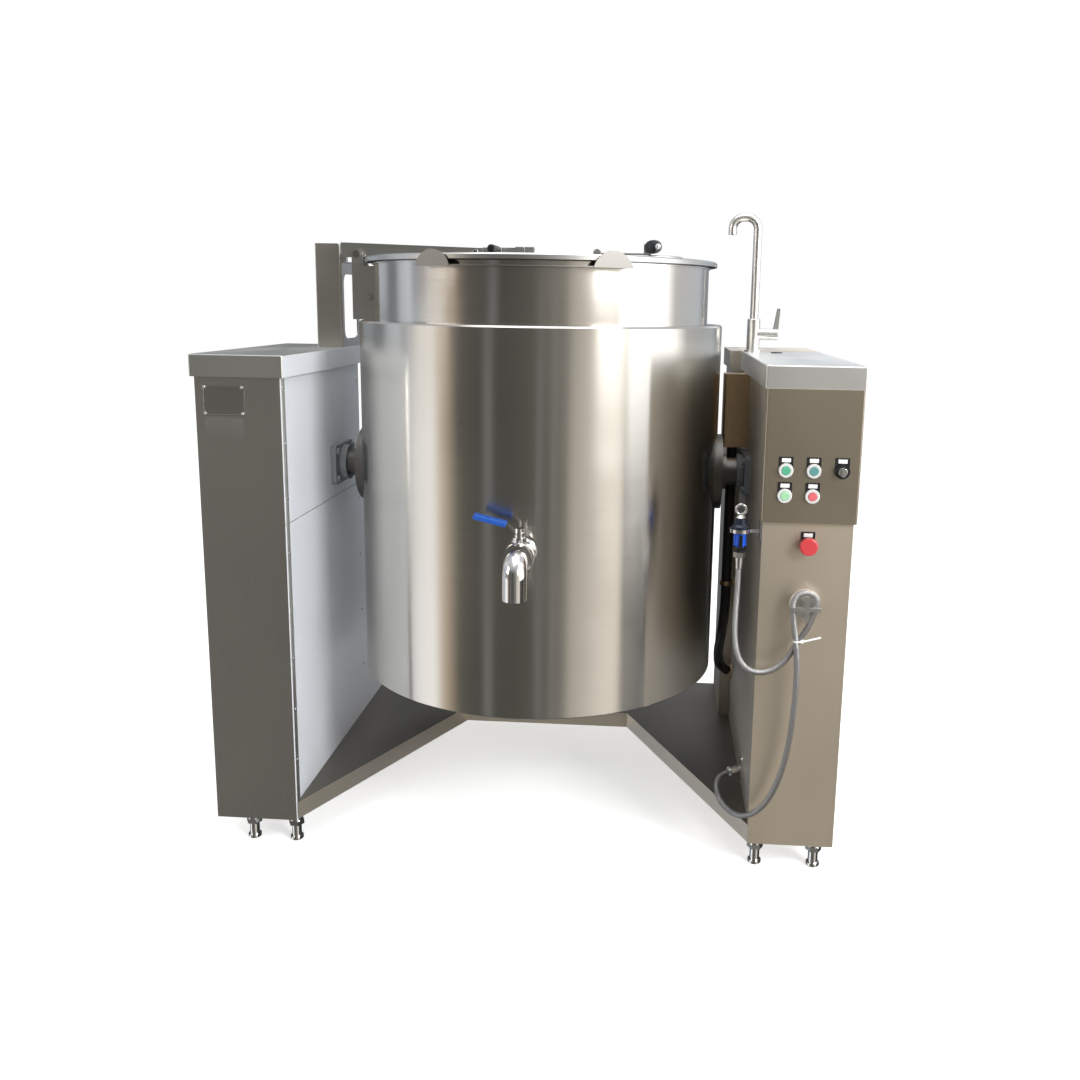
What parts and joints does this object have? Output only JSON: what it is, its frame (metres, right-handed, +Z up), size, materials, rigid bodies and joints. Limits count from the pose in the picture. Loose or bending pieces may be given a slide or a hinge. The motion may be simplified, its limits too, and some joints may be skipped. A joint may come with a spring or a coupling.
{
  "type": "steam jacketed kettle",
  "caption": "Tilting steam jacketed kettle with a hinged lid, between two consoles with push buttons, a front drain valve, a faucet and a hose spray gun.",
  "frame": {"origin": "on the floor, straight below the centre of the kettle", "axes": "+Z up along the kettle's axis, +X to the operator's right along the tilting axis, +Y away from the operator"},
  "size_m": [1.467, 1.195, 1.531],
  "materials": {
    "brushed_steel": "brushed",
    "polished_steel": "polished",
    "cast_iron": "painted dark",
    "grey_paint": "satin",
    "white_plastic": "gloss",
    "black_plastic": "matte",
    "green_plastic": "gloss",
    "teal_plastic": "gloss",
    "pale_green_plastic": "gloss",
    "red_plastic": "gloss",
    "blue_plastic": "gloss",
    "black_rubber": "matte"
  },
  "bodies": {
    "stand": {"base_wing_left": "brushed_steel", "base_wing_right": "brushed_steel", "base_centre_deck": "brushed_steel", "foot_sockets": "brushed_steel", "foot_bullets": "polished_steel", "left_console_shell": "brushed_steel", "left_panel_upper": "brushed_steel", "left_panel_lower": "brushed_steel", "left_console_cap": "brushed_steel", "right_console_shell": "brushed_steel", "right_console_cap": "brushed_steel", "right_rear_cabinet": "brushed_steel", "control_box": "brushed_steel", "button_bezels": "white_plastic", "legend_holders": "black_plastic", "contact_blocks": "black_plastic", "rest_post": "brushed_steel", "rest_frame": "brushed_steel", "bearing_left": "cast_iron", "bearing_right": "cast_iron", "tilt_gear_motor": "grey_paint", "steam_inlet_pipe": "brushed_steel", "faucet_body": "polished_steel", "hose_hook": "polished_steel", "spray_holder": "polished_steel", "spray_gun": "blue_plastic", "hose_connector": "polished_steel", "water_hose": "polished_steel", "hose_fitting": "polished_steel", "conduit_duct": "brushed_steel", "power_conduit": "black_rubber"},
    "kettle": {"trunnion_left": "brushed_steel", "trunnion_right": "brushed_steel", "jacket_cladding": "brushed_steel", "jacket_bottom_cover": "brushed_steel", "neck_band": "brushed_steel", "cooking_pan": "brushed_steel", "steam_jacket": "brushed_steel", "pouring_lip": "brushed_steel", "lid_hinge_bracket": "brushed_steel", "lid_hinge_pin": "polished_steel", "drain_valve_body": "polished_steel", "drain_elbow": "polished_steel"},
    "lid": {"lid_plate": "brushed_steel", "lid_arm": "brushed_steel", "lid_handle": "black_plastic"},
    "hatch": {"hatch_cover": "brushed_steel", "hatch_grip": "black_plastic"},
    "drain_valve": {"drain_valve_ball": "polished_steel", "drain_lever": "polished_steel", "drain_lever_grip": "blue_plastic"},
    "start_button": {"start_button": "green_plastic"},
    "tilt_up_button": {"tilt_up_button": "teal_plastic"},
    "tilt_down_button": {"tilt_down_button": "pale_green_plastic"},
    "stop_button": {"stop_button": "red_plastic"},
    "emergency_stop": {"emergency_stop_button": "red_plastic"},
    "selector": {"selector_knob": "polished_steel"},
    "faucet_spout": {"faucet_spout": "polished_steel"},
    "faucet_lever": {"faucet_lever": "polished_steel"},
    "spray_trigger": {"spray_trigger": "black_plastic"}
  },
  "joints": [
    {"name": "kettle_tilt", "type": "hinge", "parent": "stand", "child": "kettle", "pos_m": [0, 0, 0.875], "axis": [1, 0, 0], "range_deg": [0, 90]},
    {"name": "lid_open", "type": "hinge", "parent": "kettle", "child": "lid", "pos_m": [-0.462, 0, 1.404], "axis": [0, -1, 0], "range_deg": [0, 85]},
    {"name": "hatch_open", "type": "hinge", "parent": "lid", "child": "hatch", "pos_m": [0.137, 0, 1.414], "axis": [0, -1, 0], "range_deg": [0, 95]},
    {"name": "drain_lever_turn", "type": "hinge", "parent": "kettle", "child": "drain_valve", "pos_m": [0.01, -0.49, 0.76], "axis": [0, 0, 1], "range_deg": [0, 90]},
    {"name": "start_press", "type": "slide", "parent": "stand", "child": "start_button", "axis": [0, 1, 0], "range_m": [0, 0.004], "stiffness_N_per_m": 900, "springref_m": -0.003},
    {"name": "tilt_up_press", "type": "slide", "parent": "stand", "child": "tilt_up_button", "axis": [0, 1, 0], "range_m": [0, 0.004], "stiffness_N_per_m": 900, "springref_m": -0.003},
    {"name": "tilt_down_press", "type": "slide", "parent": "stand", "child": "tilt_down_button", "axis": [0, 1, 0], "range_m": [0, 0.004], "stiffness_N_per_m": 900, "springref_m": -0.003},
    {"name": "stop_press", "type": "slide", "parent": "stand", "child": "stop_button", "axis": [0, 1, 0], "range_m": [0, 0.004], "stiffness_N_per_m": 900, "springref_m": -0.003},
    {"name": "emergency_stop_press", "type": "slide", "parent": "stand", "child": "emergency_stop", "axis": [0, 1, 0], "range_m": [0, 0.005], "stiffness_N_per_m": 900, "springref_m": -0.003},
    {"name": "selector_turn", "type": "hinge", "parent": "stand", "child": "selector", "pos_m": [0.691, -0.43, 0.948], "axis": [0, -1, 0], "range_deg": [0, 60]},
    {"name": "spout_swivel", "type": "hinge", "parent": "stand", "child": "faucet_spout", "pos_m": [0.548, 0.205, 1.25], "axis": [0, 0, 1], "range_deg": [-90, 90]},
    {"name": "faucet_lever_turn", "type": "hinge", "parent": "stand", "child": "faucet_lever", "pos_m": [0.6, 0.205, 1.217], "axis": [-1, 0, 0], "range_deg": [0, 80]},
    {"name": "spray_trigger_press", "type": "hinge", "parent": "stand", "child": "spray_trigger", "pos_m": [0.485, -0.398, 0.768], "axis": [-1, 0, 0], "range_deg": [0, 10], "stiffness_Nm_per_rad": 0.3, "springref_deg": -11.46}
  ]
}
